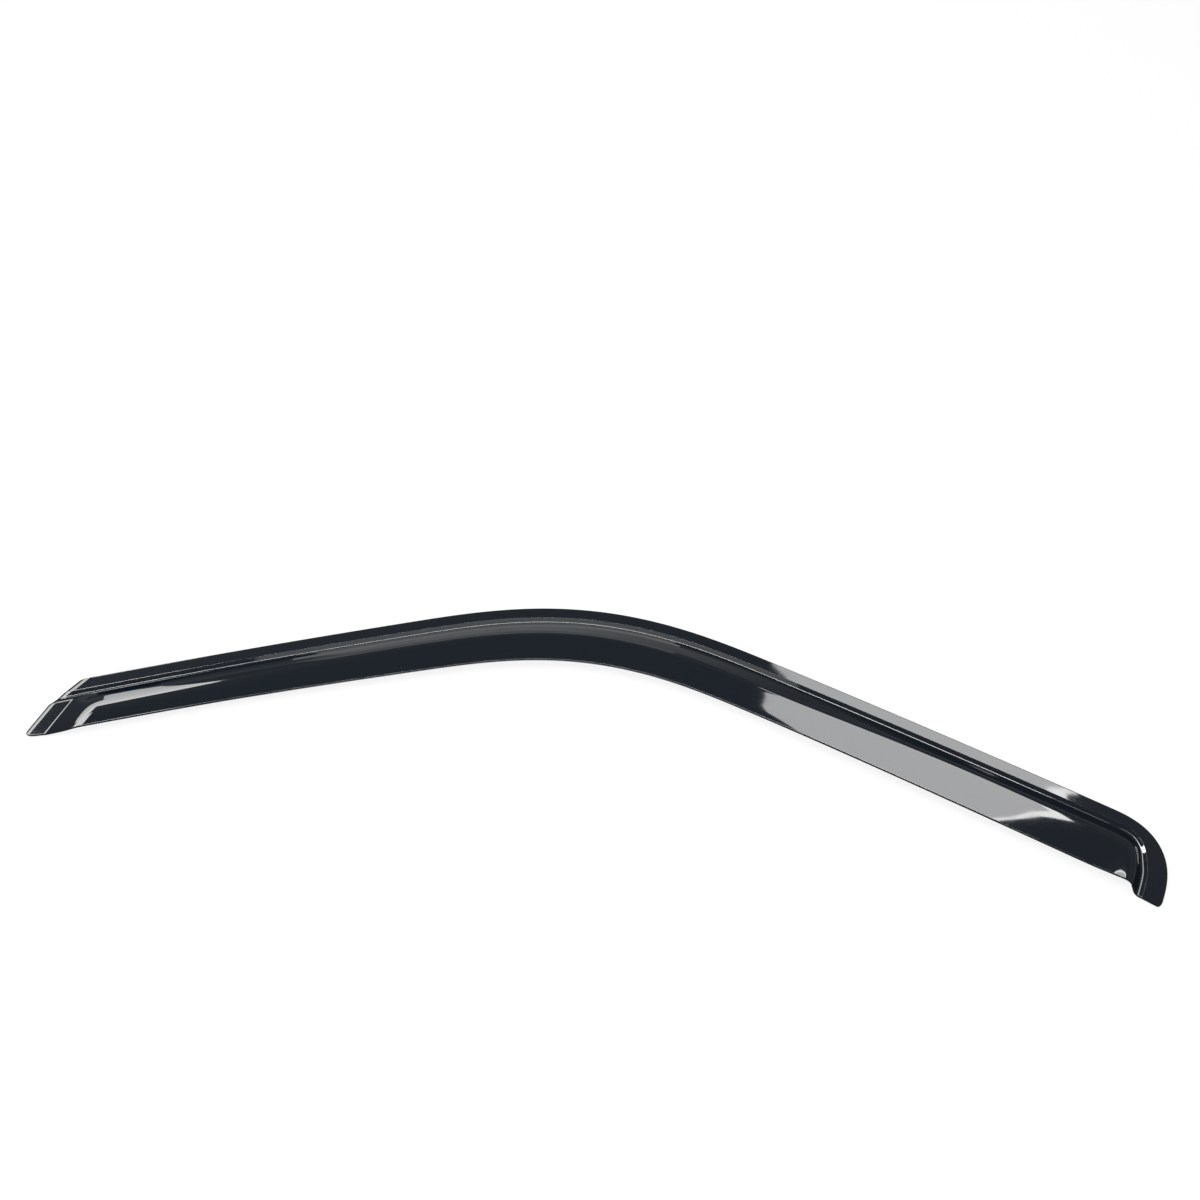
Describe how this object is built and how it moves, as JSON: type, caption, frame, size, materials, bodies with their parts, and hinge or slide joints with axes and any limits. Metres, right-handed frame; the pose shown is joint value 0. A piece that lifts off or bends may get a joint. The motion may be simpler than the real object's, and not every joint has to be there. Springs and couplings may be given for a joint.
{
  "type": "window rain deflector",
  "caption": "Long bent window rain deflector in glossy smoked acrylic, with a stepped flange on foam tape, a rounded rear corner and a flat front foot.",
  "frame": {"origin": "centre of the bounding box in X and Y, at the underside of the release liners", "axes": "+X from the front foot to the rear corner, +Y towards the top of the window frame, +Z out of the outer face"},
  "size_m": [1.004, 0.2206, 0.0158],
  "materials": {
    "smoked_acrylic": "high gloss",
    "foam_tape": "closed-cell foam",
    "release_liner": "satin film"
  },
  "bodies": {
    "root": {"visor": "smoked_acrylic", "long_tape": "foam_tape", "long_tape_liner": "release_liner", "leg_tape": "foam_tape", "leg_tape_liner": "release_liner", "foot_tape": "foam_tape", "foot_tape_liner": "release_liner"}
  },
  "joints": []
}
